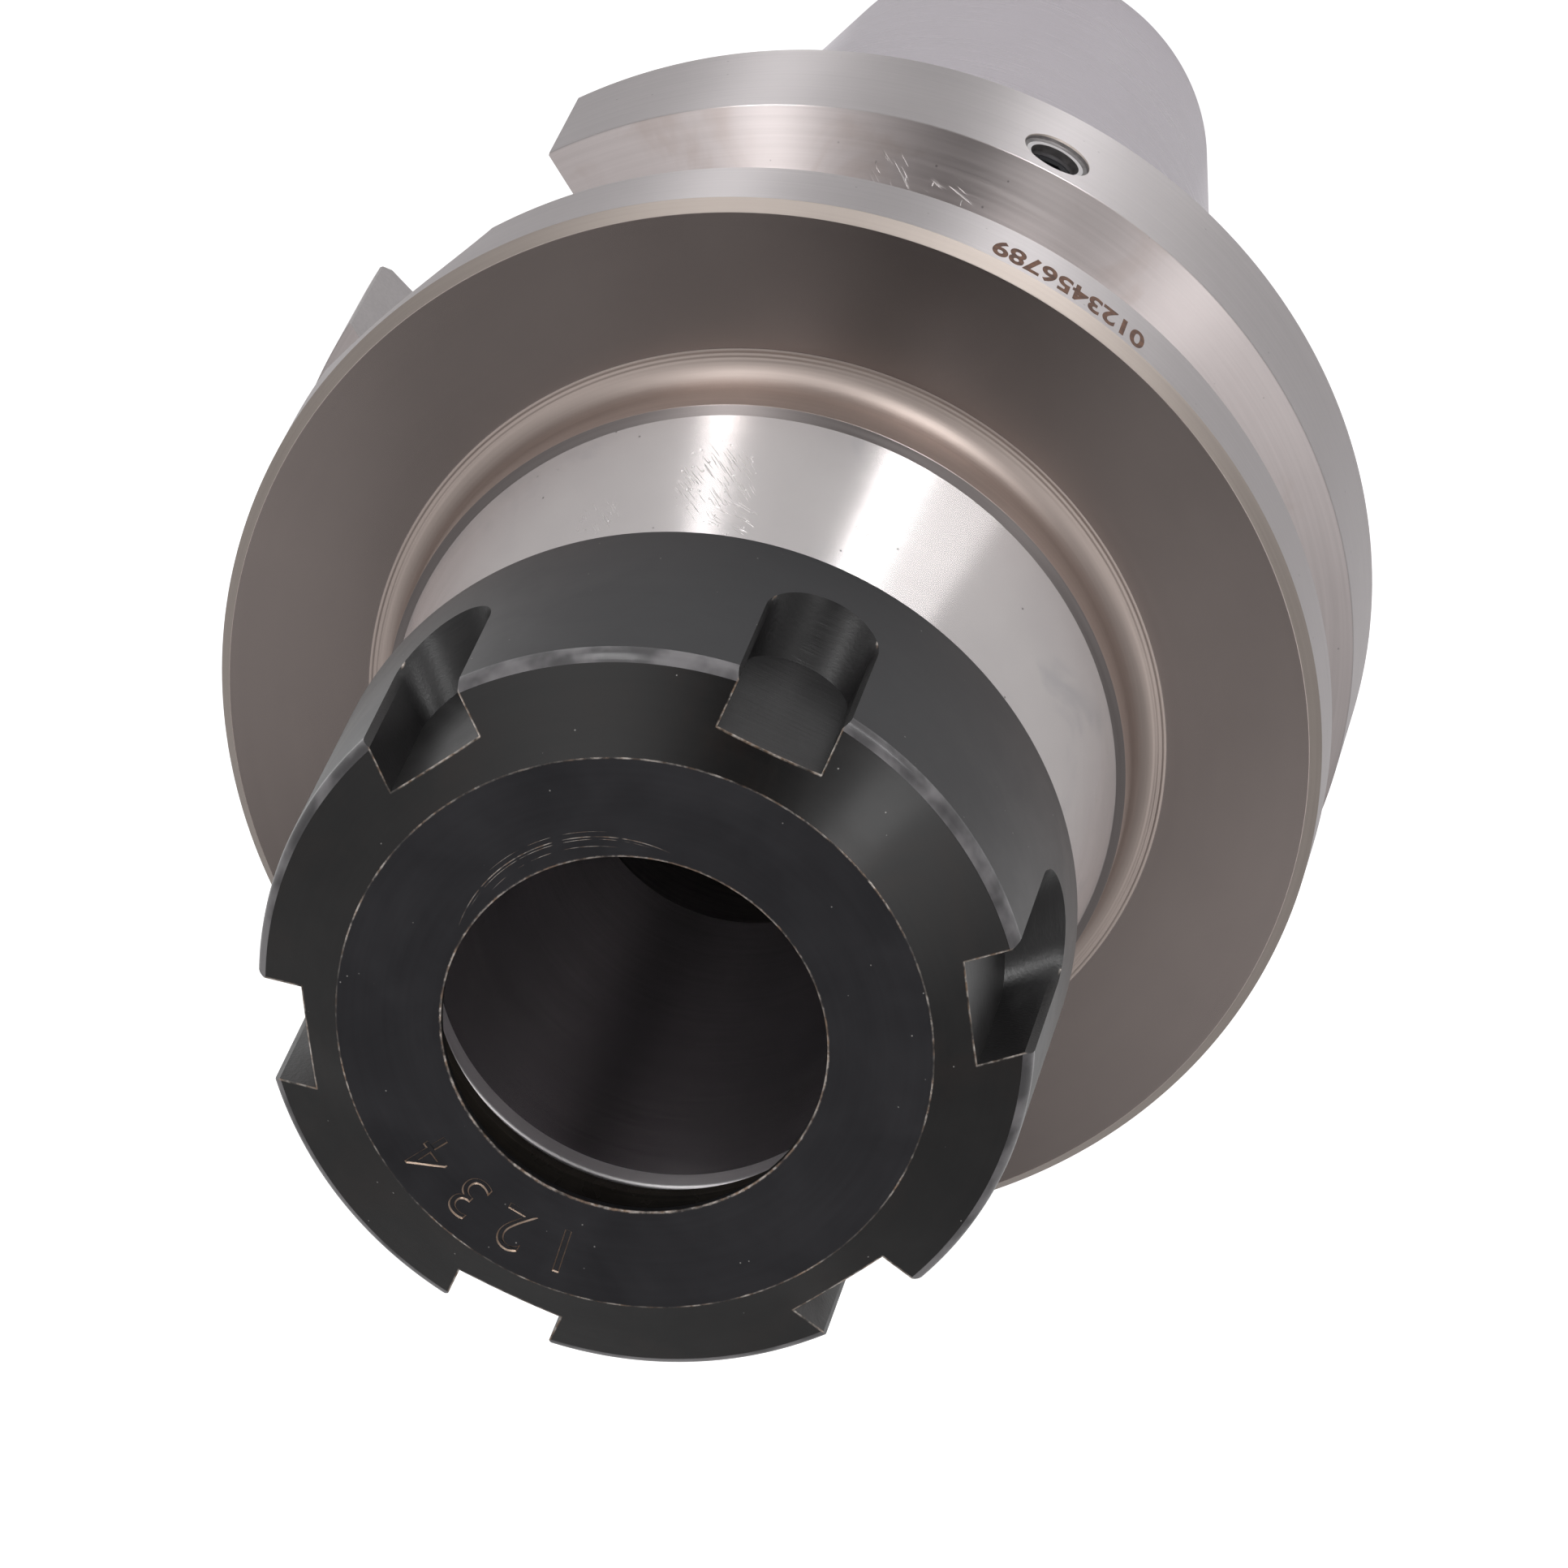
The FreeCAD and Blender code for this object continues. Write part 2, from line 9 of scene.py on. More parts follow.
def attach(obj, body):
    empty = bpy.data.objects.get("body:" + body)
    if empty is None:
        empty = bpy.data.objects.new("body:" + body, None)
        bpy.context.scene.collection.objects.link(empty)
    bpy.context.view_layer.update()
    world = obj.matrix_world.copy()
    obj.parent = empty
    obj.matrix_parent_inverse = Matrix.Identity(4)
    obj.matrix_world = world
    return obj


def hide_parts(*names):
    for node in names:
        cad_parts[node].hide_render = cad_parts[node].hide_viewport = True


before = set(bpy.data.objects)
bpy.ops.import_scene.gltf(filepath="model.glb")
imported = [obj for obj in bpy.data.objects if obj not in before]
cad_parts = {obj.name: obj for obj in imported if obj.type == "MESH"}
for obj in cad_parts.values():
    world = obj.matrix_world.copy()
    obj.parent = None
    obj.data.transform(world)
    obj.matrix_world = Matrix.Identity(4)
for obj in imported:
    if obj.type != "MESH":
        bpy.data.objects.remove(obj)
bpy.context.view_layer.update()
scene = bpy.context.scene

# Sizes in millimetres and degrees, as the CAD has them
MM = 0.001
RIM_RADIUS = 31.5
RIM_LEVEL = 74.2
PORT_ANGLE = -69.4
FACE_PORT_RADIUS = 27.0
FACE_SCREW_LEVEL = 71.6
NUT_RADIUS = 21.0
NUT_LEVEL = 133.4
FACE_RADIUS = 16.1
MOUTH_RADIUS = 10.4
SLOT_COUNT = 6
SLOT_TURN = -6.8
SLOT_HALF = 3.0
SLOT_FLOOR = 18.0
LIP_RADIUS = 12.1
LIP_OFFSET = 0.45
LIP_TURN = -66.8
KEY_HALF = 8.05
KEY_TOP = 82.35
KEY_FLOOR = 22.6

# Plain figures on the nut's face and on the flange's rim
FIGURE_SIZE = 3.9
FIGURE_RADIUS = 13.55
RIM_FIGURE_SIZE = 2.8
RIM_FIGURE_SPACING = 0.72
RIM_FIGURE_TURN = -76.0
RIM_FIGURE_LEVEL = 90.0

# How fine the meshes are: steps, millimetres, degrees, and the depth of relief in metres
SEGMENTS = 288
DRILL_SEGMENTS = 64
SCREW_SEGMENTS = 64
LIP_SEGMENTS = 192
SLOT_STEPS = 32
THREAD_STEPS = 72
THREAD_FADE = 0.35
WELD = 0.003
FIGURE_WELD = 0.03
SHARP_ANGLE = 32
BUMP_METRES = 0.00002

# Where the camera and the lamps stand, in degrees and metres
VIEW_ANGLE = -64.0
LAMP_DISTANCE = 0.8
LAMP_HEIGHT = 0.09

# Mesh helpers, all in millimetres until the piece is finished


def rounded(corners):
    """Points of a turned outline from (r, z, round, material, arc material) corners, with small arcs."""
    count = len(corners)
    points = []
    for index, corner in enumerate(corners):
        r, z, radius, material = corner[:4]
        here = Vector((r, z))
        before = corners[index - 1]
        after = corners[(index + 1) % count]
        back = Vector(before[:2]) - here
        on = Vector(after[:2]) - here
        if radius == 0:
            points.append((r, z, material))
            continue
        half = back.angle(on) / 2
        reach = radius / math.tan(half)
        reach = min(reach, 0.42 * back.length, 0.42 * on.length)
        radius = reach * math.tan(half)
        back.normalize()
        on.normalize()
        centre = here + (back + on).normalized() * (radius / math.sin(half))
        support = min(0.06, 0.2 * reach + 0.01)
        start = here + back * reach
        end = here + on * reach
        first = start - centre
        sweep = math.pi - 2 * half
        side = 1 if first.x * (end - centre).y - first.y * (end - centre).x > 0 else -1
        steps = max(3, int(math.degrees(sweep) / 15)) + (10 if radius > 2 else 0)
        spot = start + back * support
        points.append((spot.x, spot.y, before[3]))
        for step in range(steps + 1):
            turn = side * sweep * step / steps
            x = centre.x + first.x * math.cos(turn) - first.y * math.sin(turn)
            y = centre.y + first.x * math.sin(turn) + first.y * math.cos(turn)
            own = corner[4] if len(corner) > 4 and step < steps else None
            plain = before[3] if step < steps / 2 else material
            points.append((x, y, plain if own is None else own))
        spot = end + on * support
        points.append((spot.x, spot.y, material))
    return points


def lathe(name, points, segments=SEGMENTS):
    """A mesh turned about the vertical axis from a closed outline."""
    bm = bmesh.new()
    rings = []
    for r, z, _ in points:
        ring = []
        for step in range(segments):
            angle = math.tau * step / segments
            ring.append(bm.verts.new((r * math.cos(angle), r * math.sin(angle), z)))
        rings.append(ring)
    count = len(points)
    for index in range(count):
        low, high = rings[index], rings[(index + 1) % count]
        for step in range(segments):
            following = (step + 1) % segments
            face = bm.faces.new((low[step], low[following], high[following], high[step]))
            face.material_index = points[index][2]
    bmesh.ops.recalc_face_normals(bm, faces=bm.faces)
    return to_object(name, bm)


def to_object(name, bm):
    """An object in the scene that takes over a bmesh."""
    mesh = bpy.data.meshes.new(name)
    bm.to_mesh(mesh)
    bm.free()
    item = bpy.data.objects.new(name, mesh)
    scene.collection.objects.link(item)
    return item


def loft(name, loops, material=0, bright=()):
    """A closed solid through loops of equally many points. Bright holds (step, material) for single steps."""
    bm = bmesh.new()
    rows = [[bm.verts.new(p) for p in loop] for loop in loops]
    count = len(rows[0])
    for index, (low, high) in enumerate(zip(rows, rows[1:])):
        own = dict(bright).get(index, material)
        for step in range(count):
            following = (step + 1) % count
            bm.faces.new((low[step], low[following], high[following], high[step])).material_index = own
    bm.faces.new(rows[0]).material_index = material
    bm.faces.new(rows[-1]).material_index = material
    bmesh.ops.recalc_face_normals(bm, faces=bm.faces)
    return to_object(name, bm)


def slot_outline(half, arc_centre, open_end, down=False):
    """(across, up) points of an upright slot with one round end and one open end."""
    sign = -1 if down else 1
    spots = []
    for step in range(SLOT_STEPS + 1):
        angle = math.pi * step / SLOT_STEPS
        spots.append((half * math.cos(angle), arc_centre + sign * half * math.sin(angle)))
    spots.append((-half, open_end))
    spots.append((half, open_end))
    return spots


def turned(item, degrees):
    """The item after its mesh is turned about the vertical axis."""
    item.data.transform(Matrix.Rotation(math.radians(degrees), 4, "Z"))
    return item


def cut(item, cutters, materials):
    """Take each cutter away from the item and drop it. Faces keep their numbers in the list of materials."""
    for thing in [item] + cutters:
        for material in materials:
            thing.data.materials.append(material)
    for cutter in cutters:
        modifier = item.modifiers.new("cut", "BOOLEAN")
        modifier.operation = "DIFFERENCE"
        modifier.solver = "EXACT"
        modifier.material_mode = "INDEX"
        modifier.object = cutter
        bpy.context.view_layer.update()
        depsgraph = bpy.context.evaluated_depsgraph_get()
        mesh = bpy.data.meshes.new_from_object(item.evaluated_get(depsgraph))
        item.modifiers.clear()
        old = item.data
        item.data = mesh
        bpy.data.meshes.remove(old)
        bpy.data.objects.remove(cutter)


def finished(item, materials, body, nodes=()):
    """Metres, smooth shading with sharp edges by angle, materials, and its place in the frame."""
    bm = bmesh.new()
    bm.from_mesh(item.data)
    bmesh.ops.remove_doubles(bm, verts=bm.verts, dist=WELD)
    bmesh.ops.dissolve_degenerate(bm, edges=bm.edges, dist=WELD)
    limit = math.radians(SHARP_ANGLE)
    for face in bm.faces:
        face.smooth = True
    for edge in bm.edges:
        edge.smooth = len(edge.link_faces) == 2 and edge.calc_face_angle(0) < limit
    bm.to_mesh(item.data)
    bm.free()
    item.data.transform(Matrix.Scale(MM, 4))
    if not item.data.materials:
        for material in materials:
            item.data.materials.append(material)
    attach(item, body)
    if nodes:
        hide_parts(*nodes)


# Node helpers


class Graph:
    """Short names for building one node tree."""

    def __init__(self, tree):
        self.tree = tree
        self.tree.nodes.clear()

    def node(self, kind, **settings):
        item = self.tree.nodes.new(kind)
        for key, value in settings.items():
            setattr(item, key, value)
        return item

    def link(self, source, target):
        if isinstance(source, (int, float, tuple)):
            target.default_value = source
        else:
            self.tree.links.new(source, target)

    def math(self, operation, first, second=None, third=None):
        item = self.node("ShaderNodeMath", operation=operation)
        for index, value in enumerate((first, second, third)):
            if value is not None:
                self.link(value, item.inputs[index])
        return item.outputs[0]

    def span(self, value, low, high, to_low=0.0, to_high=1.0, smooth=False):
        item = self.node("ShaderNodeMapRange", clamp=True)
        if smooth:
            item.interpolation_type = "SMOOTHSTEP"
        for index, part in enumerate((value, low, high, to_low, to_high)):
            self.link(part, item.inputs[index])
        return item.outputs[0]

    def combine(self, x, y, z):
        item = self.node("ShaderNodeCombineXYZ")
        for index, value in enumerate((x, y, z)):
            self.link(value, item.inputs[index])
        return item.outputs[0]

    def noise(self, vector, scale, detail=2.0, roughness=0.5, distortion=0.0):
        item = self.node("ShaderNodeTexNoise")
        self.link(vector, item.inputs["Vector"])
        item.inputs["Scale"].default_value = scale
        item.inputs["Detail"].default_value = detail
        item.inputs["Roughness"].default_value = roughness
        item.inputs["Distortion"].default_value = distortion
        return item.outputs["Fac"]

    def ramp(self, value, stops):
        item = self.node("ShaderNodeValToRGB")
        self.link(value, item.inputs["Fac"])
        elements = item.color_ramp.elements
        while len(elements) > 1:
            elements.remove(elements[-1])
        elements[0].position, elements[0].color = stops[0][0], stops[0][1] + (1,)
        for place, colour in stops[1:]:
            elements.new(place).color = colour + (1,)
        return item.outputs["Color"]

    def times(self, *factors):
        """The product of two or more values."""
        product = factors[0]
        for factor in factors[1:]:
            product = self.math("MULTIPLY", product, factor)
        return product

    def reach(self, first, second):
        """The length of the vector with two parts."""
        return self.math("SQRT", self.math("ADD", self.times(first, first), self.times(second, second)))

    def mix(self, factor, first, second):
        item = self.node("ShaderNodeMix", data_type="RGBA", blend_type="MIX")
        self.link(factor, item.inputs["Factor"])
        for value, target in ((first, item.inputs[6]), (second, item.inputs[7])):
            self.link(value + (1,) if isinstance(value, tuple) else value, target)
        return item.outputs[2]

    def bump(self, height):
        item = self.node("ShaderNodeBump")
        item.inputs["Strength"].default_value = 1.0
        item.inputs["Distance"].default_value = BUMP_METRES
        self.link(height, item.inputs["Height"])
        return item.outputs["Normal"]


def cylinder_coordinates(graph):
    """Place in millimetres: the vector, radius, height and angle about the vertical axis."""
    texture = graph.node("ShaderNodeTexCoord")
    scale = graph.node("ShaderNodeVectorMath", operation="SCALE")
    graph.link(texture.outputs["Object"], scale.inputs[0])
    scale.inputs["Scale"].default_value = 1 / MM
    place = scale.outputs[0]
    parts = graph.node("ShaderNodeSeparateXYZ")
    graph.link(place, parts.inputs[0])
    x, y, z = parts.outputs
    radius = graph.reach(x, y)
    angle = graph.math("ARCTAN2", y, x)
    return place, radius, z, angle


def new_material(name):
    """A material with a plain principled shader, and the graph that builds on it."""
    material = bpy.data.materials.new(name)
    material.use_nodes = True
    graph = Graph(material.node_tree)
    shader = graph.node("ShaderNodeBsdfPrincipled")
    output = graph.node("ShaderNodeOutputMaterial")
    graph.link(shader.outputs[0], output.inputs[0])
    return material, graph, shader


def marks_at(graph, height, angle, around, up, wide, tall, turn, radius):
    """Two masks of hairline scratches and bright specks inside a soft oval patch of a turned surface."""
    across = graph.times(graph.math("SUBTRACT", angle, math.radians(around)), radius)
    along = graph.math("SUBTRACT", height, up)
    a = graph.math("DIVIDE", across, wide)
    b = graph.math("DIVIDE", along, tall)
    patch = graph.span(graph.reach(a, b), 0.35, 1.0, 1.0, 0.0, smooth=True)
    c, s = math.cos(math.radians(turn)), math.sin(math.radians(turn))
    u = graph.math("ADD", graph.times(across, c * 14.0), graph.times(along, s * 14.0))
    v = graph.math("ADD", graph.times(across, -s * 0.5), graph.times(along, c * 0.5))
    hair = graph.span(graph.noise(graph.combine(u, v, 3.0), 1.0, 1.0, 0.4), 0.63, 0.72, 0.0, 0.7)
    dots = graph.node("ShaderNodeTexVoronoi")
    graph.link(graph.combine(across, along, 0.0), dots.inputs["Vector"])
    dots.inputs["Scale"].default_value = 2.2
    spots = graph.span(dots.outputs["Distance"], 0.14, 0.22, 1.0, 0.0)
    pick = graph.math("GREATER_THAN", graph.noise(graph.combine(across, along, 7.0), 1.6), 0.52)
    spots = graph.times(spots, pick)
    return graph.times(patch, hair), graph.times(patch, spots)


def steel(name, dark, light, roughness, spread=0.04, anisotropy=0.0, lines=6.0, bump=0.1,
          mottle=0.25, stain=(0.5, 0.5, 0.5), stain_amount=0.0, specks=0.0, marks=(), rings=None):
    """Bare steel with turning or grinding lines round the axis, soft mottling and a few pits."""
    material, graph, shader = new_material(name)
    place, radius, height, angle = cylinder_coordinates(graph)
    shader.inputs["Metallic"].default_value = 1.0
    around = graph.combine(graph.times(radius, lines), graph.times(height, lines),
                           graph.times(angle, 1.5))
    fine = graph.noise(around, 1.0, 3.0, 0.65)
    cloud = graph.noise(place, 0.22, 3.0, 0.55)
    blend = graph.math("ADD", graph.times(fine, 1 - mottle), graph.times(cloud, mottle))
    colour = graph.ramp(blend, [(0.3, dark), (0.7, light)])
    if stain_amount:
        cloudy = graph.noise(place, 0.16, 4.0, 0.6, 0.6)
        patch = graph.span(cloudy, 0.55, 0.72, 0.0, stain_amount, smooth=True)
        colour = graph.mix(patch, colour, stain)
    if specks:
        dots = graph.node("ShaderNodeTexVoronoi")
        graph.link(place, dots.inputs["Vector"])
        dots.inputs["Scale"].default_value = 0.55
        near = graph.span(dots.outputs["Distance"], 0.02, 0.05, specks, 0.0)
        colour = graph.mix(near, colour, (0.03, 0.028, 0.028))
    rough = graph.span(fine, 0.3, 0.7, roughness - spread, roughness + spread)
    relief = graph.times(fine, bump)
    for mark in marks:
        hair, spots = marks_at(graph, height, angle, *mark)
        colour = graph.mix(hair, colour, (0.9, 0.88, 0.87))
        colour = graph.mix(spots, colour, (0.95, 0.94, 0.93))
        both = graph.math("MAXIMUM", hair, spots)
        rough = graph.math("ADD", rough, graph.times(both, 0.35))
        relief = graph.math("SUBTRACT", relief, graph.times(both, 0.9))
    if rings:
        inner, outer, pitch, depth = rings
        wave = graph.math("SINE", graph.times(radius, math.tau / pitch))
        shown = graph.times(graph.span(radius, inner, inner + 0.3),
                            graph.span(radius, outer - 0.5, outer, 1.0, 0.0))
        patchy = graph.span(graph.noise(graph.combine(angle, 0.0, 0.0), 1.5), 0.35, 0.6, 0.4, 1.0)
        relief = graph.math("ADD", relief, graph.times(wave, patchy, graph.times(shown, depth)))
    graph.link(colour, shader.inputs["Base Color"])
    graph.link(rough, shader.inputs["Roughness"])
    graph.link(graph.bump(relief), shader.inputs["Normal"])
    if anisotropy:
        shader.inputs["Anisotropic"].default_value = anisotropy
        shader.inputs["Anisotropic Rotation"].default_value = 0.25
        tangent = graph.node("ShaderNodeTangent", direction_type="RADIAL", axis="Z")
        graph.link(tangent.outputs[0], shader.inputs["Tangent"])
    return material


TAPER, RIM, GROOVE, FACE, ROOT, STRIP, CONE, NOSE, SEAT, BORE, MILLED, EDGE, SEAT_EDGE_HIGHLIGHT = range(13)
cone_marks = ((-40.0, 101.6, 2.6, 3.4, 35.0, 18.5), (-44.5, 104.0, 1.6, 1.4, 60.0, 17.6),
              (-67.8, 102.2, 1.0, 0.7, -30.0, 18.2), (-19.0, 102.6, 1.6, 1.2, 20.0, 18.0))
groove_marks = ((-53.6, 78.6, 1.5, 0.8, 60.0, 28.7), (-60.4, 78.8, 1.9, 0.7, 80.0, 28.5))
holder_materials = [
    steel("taper_ground_steel", (0.68, 0.63, 0.68), (0.75, 0.70, 0.75), 0.26, 0.02, 0.5, 5.0, 0.03),
    steel("rim_turned_steel", (0.535, 0.507, 0.512), (0.60, 0.568, 0.573), 0.48, 0.02, 0.94, 4.0, 0.03,
          specks=0.3),
    steel("groove_turned_steel", (0.53, 0.48, 0.475), (0.62, 0.565, 0.56), 0.32, 0.02, 0.85, 3.0, 0.04,
          0.25, (0.40, 0.31, 0.27), 0.3, 0.5, groove_marks),
    # Flange face steel: grey turned steel with a warm brown tint that is a painted reflection of warm
    # surroundings.
    steel("flange_face_steel_painted_warm_reflection", (0.475, 0.408, 0.386), (0.50, 0.43, 0.405), 0.26, 0.003, 0.82, 2.5, 0.003,
          0.7),
    steel("root_turned_steel", (0.43, 0.365, 0.335), (0.50, 0.425, 0.39), 0.47, 0.02, 0.0, 4.0, 0.04,
          rings=(22.0, 24.2, 0.26, 0.55)),
    steel("strip_dull_steel", (0.22, 0.195, 0.19), (0.26, 0.235, 0.23), 0.32, 0.03, 0.3, 3.0, 0.05),
    steel("cone_ground_steel", (0.75, 0.71, 0.71), (0.81, 0.77, 0.765), 0.25, 0.01, 0.92, 1.5, 0.01, 0.6,
          (0.46, 0.48, 0.51), 0.3, 0.6, cone_marks),
    steel("nose_turned_steel", (0.42, 0.40, 0.39), (0.58, 0.56, 0.55), 0.35, 0.05, 0.5, 5.0, 0.2),
    steel("seat_ground_steel", (0.62, 0.59, 0.61), (0.72, 0.69, 0.71), 0.25, 0.02, 0.9, 3.0, 0.03),
    # Bore steel: much darker than the outside steel, painted shade inside the bores and drillings; the
    # rougher drilled finish is real.
    steel("bore_drilled_steel_painted_shade", (0.22, 0.21, 0.21), (0.38, 0.36, 0.36), 0.45, 0.06, 0.4, 4.0, 0.3),
    steel("keyway_milled_steel", (0.46, 0.435, 0.435), (0.56, 0.53, 0.53), 0.36, 0.04, 0.0, 4.0, 0.1),
    steel("edge_bright_steel", (0.40, 0.35, 0.32), (0.46, 0.405, 0.37), 0.50, 0.03, 0.0, 4.0, 0.04),
    # Seat edge: a brighter copy of the seat's ground steel on the rounded seat mouth and on one step ring of
    # each rim drilling. The rounding that catches the lamps is real; the extra brightness is a painted
    # highlight.
    steel("seat_edge_painted_highlight_steel", (0.86, 0.83, 0.84), (0.92, 0.90, 0.91), 0.42, 0.03, 0.0, 4.0, 0.04),
]

# Holder body: the turned blank, then keyways and coolant drillings
holder_outline = [
    (9.1, 0.0, 0, TAPER), (11.6875, 0.0, 0.15, TAPER), (12.833, 1.0, 0.15, TAPER),
    (22.225, 65.4, 0.1, TAPER), (21.825, 65.9, 0.2, TAPER), (21.825, 67.4, 0.3, RIM),
    (30.8, 67.4, 0.12, RIM), (31.5, 68.1, 0.12, RIM), (31.5, 77.0, 0.12, GROOVE),
    (26.5, 79.887, 0.4, GROOVE), (26.5, 84.113, 0.4, GROOVE), (31.5, 87.0, 0.12, RIM),
    (31.5, 91.6, 0.06, EDGE), (30.9, 92.4, 0.08, FACE), (21.1, 92.4, 3.5, ROOT, ROOT),
    (21.1, 96.45, 0.1, STRIP), (20.6, 96.85, 0.05, CONE), (16.315, 106.5, 0.1, NOSE),
    (14.715, 107.21, 0.25, NOSE), (14.715, 108.74, 0.1, NOSE), (14.95, 109.5, 0.05, NOSE),
    # The seat mouth's round takes the brighter seat-edge steel, a painted highlight ring.
    (14.95, 124.6, 0.05, NOSE), (14.675, 125.4, 0.05, NOSE), (12.9, 125.4, 0.3, SEAT_EDGE_HIGHLIGHT, SEAT_EDGE_HIGHLIGHT),
    (12.5, 124.6, 0.06, SEAT), (8.987, 99.6, 0.05, BORE), (9.287, 99.6, 0.1, BORE),
    (9.287, 92.6, 0.1, BORE), (8.95, 92.6, 0.05, BORE), (8.95, 62.6, 0.1, BORE),
    (5.0, 60.72, 0.1, BORE), (5.0, 35.1, 0.1, BORE), (7.95, 33.4, 0.1, BORE),
    (7.95, 9.55, 0.1, BORE), (8.5, 9.0, 0.1, BORE), (8.5, 0.6, 0.1, BORE),
]
holder = lathe("holder_turned", rounded(holder_outline))


def keyway_cutter():
    """A milled slot with a small chamfer that follows the round rim."""
    loops = []
    for grow, depth in ((0.0, None), (0.0, -0.12), (0.2, 0.08), (0.2, 4.0)):
        loop = []
        for y, z in slot_outline(KEY_HALF + grow, KEY_TOP, 60.0):
            surface = math.sqrt(RIM_RADIUS ** 2 - min(abs(y), 30) ** 2)
            x = KEY_FLOOR if depth is None else surface + depth
            loop.append((x, y, z))
        loops.append(loop)
    return loft("keyway_cutter", loops, MILLED)


def drill_cutter(stations, bright=()):
    """A round drill along x through (radius, x) stations."""
    loops = []
    for size, x in stations:
        turns = [math.tau * k / DRILL_SEGMENTS for k in range(DRILL_SEGMENTS)]
        loops.append([(x, size * math.cos(turn), size * math.sin(turn)) for turn in turns])
    return loft("drill_cutter", loops, BORE, bright)


port_stations = ((1.65, 4.0), (1.65, 30.6), (1.5, 30.65), (1.5, 31.11), (1.76, 31.13), (1.97, 31.22),
                 (2.0, 31.4), (2.32, 31.72))
cutters = []
for half_turn in (0, 180):
    cutters.append(turned(keyway_cutter(), half_turn))
    # One step ring of the drilling takes the brighter seat-edge steel, a painted highlight ring.
    port = drill_cutter(port_stations, ((3, SEAT_EDGE_HIGHLIGHT), (6, EDGE)))
    port.data.transform(Matrix.Translation((0, 0, RIM_LEVEL)))
    cutters.append(turned(port, PORT_ANGLE + half_turn))
    back = drill_cutter(((1.5, 0.0), (1.5, 7.6)))
    upright = Matrix.Rotation(-math.pi / 2, 4, "Y")
    back.data.transform(Matrix.Translation((FACE_PORT_RADIUS, 0, 66.8)) @ upright)
    cutters.append(turned(back, PORT_ANGLE + half_turn))
cut(holder, cutters, holder_materials)
finished(holder, holder_materials, "holder", ["holder_body"])


def helix(name, crest, base, pitch, low, high, material):
    """A screw thread's ridge that fades in and out at its ends, from its base radius to its crest."""
    bm = bmesh.new()
    turns = (high - low) / pitch
    count = int(turns * THREAD_STEPS)
    rows = []
    root, tip = 0.46 * pitch, 0.09 * pitch
    for index in range(count + 1):
        angle = math.tau * index / THREAD_STEPS
        middle = low + pitch * index / THREAD_STEPS
        fade = min(1.0, index / (THREAD_FADE * THREAD_STEPS), (count - index) / (THREAD_FADE * THREAD_STEPS))
        top = base + (crest - base) * max(fade, 0.02)
        section = [(base, middle - root), (top, middle - tip), (top, middle + tip), (base, middle + root)]
        rows.append([bm.verts.new((r * math.cos(angle), r * math.sin(angle), z)) for r, z in section])
    for first, second in zip(rows, rows[1:]):
        for side in range(4):
            other = (side + 1) % 4
            bm.faces.new((first[side], first[other], second[other], second[side]))
    bm.faces.new(rows[0])
    bm.faces.new(rows[-1])
    bmesh.ops.recalc_face_normals(bm, faces=bm.faces)
    finished(to_object(name, bm), [holder_materials[material]], "holder")


helix("nose_thread", 15.475, 14.9, 1.5, 110.1, 124.2, NOSE)
helix("stop_screw_thread", 8.25, 9.0, 1.5, 63.4, 91.8, BORE)
helix("pull_stud_thread", 6.9, 8.0, 2.0, 11.0, 32.0, BORE)

# Clamping nut


def worn_edges(graph, place, radius, height, angle, circles, slots):
    """How far an edge has lost its oxide: broken lines along (r, z, width, share) circles and the slots."""
    worn = None
    rough_line = graph.span(graph.noise(place, 0.9, 5.0, 0.75), 0.40, 0.58, 0.1, 1.0)
    patches = graph.span(graph.noise(place, 0.33, 3.0, 0.6), 0.45, 0.62)
    for r, z, width, share in circles:
        a = graph.math("SUBTRACT", radius, r)
        b = graph.math("SUBTRACT", height, z)
        ragged = graph.math("MULTIPLY_ADD", graph.noise(place, 4.0, 3.0, 0.7), -width, graph.reach(a, b))
        line = graph.times(graph.span(ragged, 0.0, 0.5 * width, 1.0, 0.0), rough_line,
                           graph.math("MULTIPLY_ADD", patches, 1 - share, share))
        worn = line if worn is None else graph.math("MAXIMUM", worn, line)
    if slots:
        half_pitch = 180.0 / SLOT_COUNT
        turn = graph.math("ADD", angle, math.radians(360.0 + half_pitch - SLOT_TURN))
        fold = graph.math("MODULO", turn, math.tau / SLOT_COUNT)
        fold = graph.math("SUBTRACT", fold, math.pi / SLOT_COUNT)
        side = graph.math("ABSOLUTE", graph.times(radius, graph.math("SINE", fold)))
        front = graph.times(radius, graph.math("COSINE", fold))
        from_wall = graph.math("ABSOLUTE", graph.math("SUBTRACT", side, SLOT_HALF))
        wall = graph.times(graph.span(from_wall, 0.02, 0.11, 1.0, 0.0),
                           graph.math("GREATER_THAN", front, SLOT_FLOOR - 0.05))
        from_base = graph.math("ABSOLUTE", graph.math("SUBTRACT", front, SLOT_FLOOR))
        base = graph.times(graph.span(from_base, 0.02, 0.10, 1.0, 0.0),
                           graph.math("LESS_THAN", side, SLOT_HALF + 0.05))
        cone_level = graph.math("MULTIPLY_ADD", radius, -0.5774, 142.696)
        above = graph.math("ABSOLUTE", graph.math("SUBTRACT", height, cone_level))
        ahead = graph.span(above, 0.02, 0.1, 1.0, 0.0)
        ahead = graph.math("MAXIMUM", ahead, graph.span(radius, 20.86, 20.96))
        line = graph.times(graph.math("MAXIMUM", wall, base), ahead, rough_line)
        worn = line if worn is None else graph.math("MAXIMUM", worn, line)
    return worn


